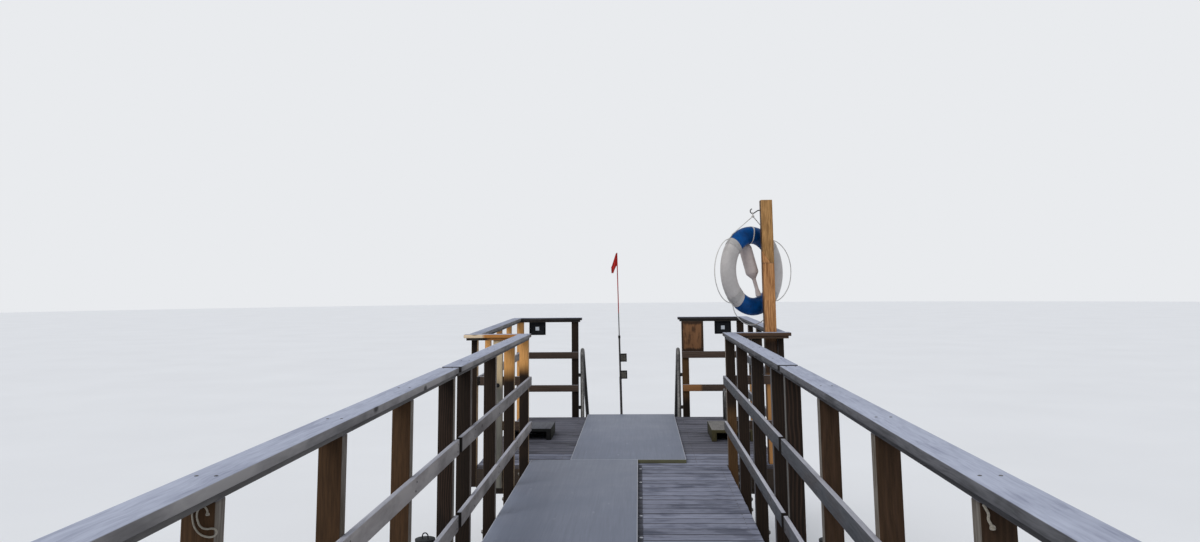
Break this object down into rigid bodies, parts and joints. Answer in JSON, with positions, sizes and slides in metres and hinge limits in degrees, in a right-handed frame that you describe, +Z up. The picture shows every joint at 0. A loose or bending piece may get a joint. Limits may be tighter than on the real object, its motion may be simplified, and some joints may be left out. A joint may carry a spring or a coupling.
{
  "type": "wooden bathing jetty",
  "caption": "Wooden jetty with a railed walkway and platform, a bathing stair with tube handrails, a life buoy on a tall post and a flagged marker pole.",
  "frame": {"origin": "middle of the footprint, level with the feet of the piles on the lake bed", "axes": "+Y from the shore towards the stair, +X to the right seen from the shore, +Z up"},
  "size_m": [2.7778, 10.415, 3.39],
  "materials": {
    "frosted_board": "grey board under pale frost",
    "deck_board": "weathered deck boards with frost",
    "weathered_rail": "weathered grey brown boards",
    "brown_post": "brown treated timber",
    "dark_beam": "dark treated timber",
    "pile_wood": "wet dark round timber",
    "bare_board": "rough bare board",
    "step_board": "weathered boards",
    "buoy_post_wood": "honey brown treated timber",
    "lamp_housing": "dark painted housing",
    "deck_sheet": "slate grey sheet with fine streaks",
    "tube_steel": "dull galvanised tube",
    "buoy_plastic": "blue and off-white quarters",
    "float_plastic": "off-white plastic",
    "cord": "white braided cord",
    "black_iron": "black iron",
    "pole_paint": "dark lower tube and red upper rod",
    "flag_cloth": "red cloth",
    "pile_rubber": "black rubber"
  },
  "bodies": {
    "root": {"gangway_caps": "frosted_board", "walkway_caps": "frosted_board", "platform_caps": "frosted_board", "gangway_deck": "deck_board", "walkway_deck": "deck_board", "platform_deck": "deck_board", "gangway_under_boards": "weathered_rail", "walkway_under_boards": "weathered_rail", "platform_under_boards": "weathered_rail", "gangway_mid_rails": "weathered_rail", "walkway_mid_rails": "weathered_rail", "platform_mid_rails": "weathered_rail", "gangway_posts": "brown_post", "walkway_posts": "brown_post", "platform_posts": "brown_post", "gangway_beams": "dark_beam", "walkway_beams": "dark_beam", "platform_beams": "dark_beam", "platform_end_beams": "dark_beam", "stair_stringers": "dark_beam", "cross_beams": "dark_beam", "piles": "pile_wood", "weathered_board": "bare_board", "low_step_left": "step_board", "low_step_right": "step_board", "stair_treads": "step_board", "buoy_post": "buoy_post_wood", "lamps": "lamp_housing", "deck_sheet_near": "deck_sheet", "deck_sheet_far": "deck_sheet", "tube_hoop": "tube_steel", "stair_handrails": "tube_steel", "life_buoy": "buoy_plastic", "ring_float": "float_plastic", "grab_line": "cord", "buoy_hanger": "cord", "rail_cord_left": "cord", "rail_cord_right": "cord", "buoy_hook": "black_iron", "marker_pole": "pole_paint", "marker_flag": "flag_cloth", "pile_caps": "pile_rubber"}
  },
  "joints": []
}
